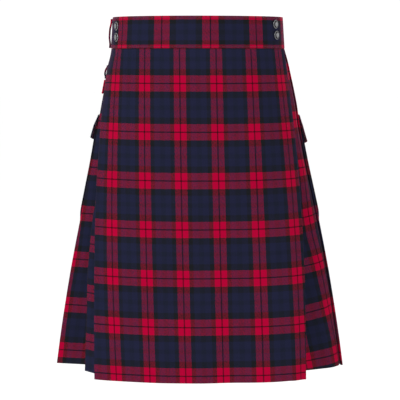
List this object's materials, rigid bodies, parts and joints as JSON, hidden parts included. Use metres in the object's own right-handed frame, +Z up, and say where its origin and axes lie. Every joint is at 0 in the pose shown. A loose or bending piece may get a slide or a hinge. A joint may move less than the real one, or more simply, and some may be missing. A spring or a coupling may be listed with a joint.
{
  "type": "tartan kilt",
  "caption": "Knee-length wrap kilt in red, navy and black tartan, filled out as worn, with a flat front apron, knife pleats, hip pockets and a snapped waistband.",
  "frame": {"origin": "centre of the waist opening, half-way up the waistband, where the wearer holds the kilt up", "axes": "+Z up through the waist opening, the front apron faces -Y, +X is the wearer's left"},
  "size_m": [0.5093, 0.3273, 0.61],
  "materials": {
    "tartan": "matt twill-woven tartan, red, navy and black",
    "waistband": "the same tartan twill, cut crosswise and stitched double",
    "snap": "pewter-coloured pressed snap caps"
  },
  "bodies": {
    "root": {"front_apron": "tartan", "under_apron": "tartan", "pleats_left": "tartan", "pleats_back_1": "tartan", "pleats_back_2": "tartan", "pleats_back_3": "tartan", "pleats_back_4": "tartan", "pleats_right": "tartan", "side_panel_right": "tartan", "waistband_front": "waistband", "waistband_back": "waistband", "waistband_under": "waistband", "belt_loop_1": "waistband", "belt_loop_2": "waistband", "belt_loop_3": "waistband", "belt_loop_4": "waistband", "snap_left_upper": "snap", "snap_left_lower": "snap", "snap_right_upper": "snap", "snap_right_lower": "snap", "hip_loop": "tartan", "hip_tab": "tartan", "pocket_left": "tartan", "pocket_flap_left": "tartan", "pocket_right": "tartan", "pocket_flap_right": "tartan"}
  },
  "joints": []
}
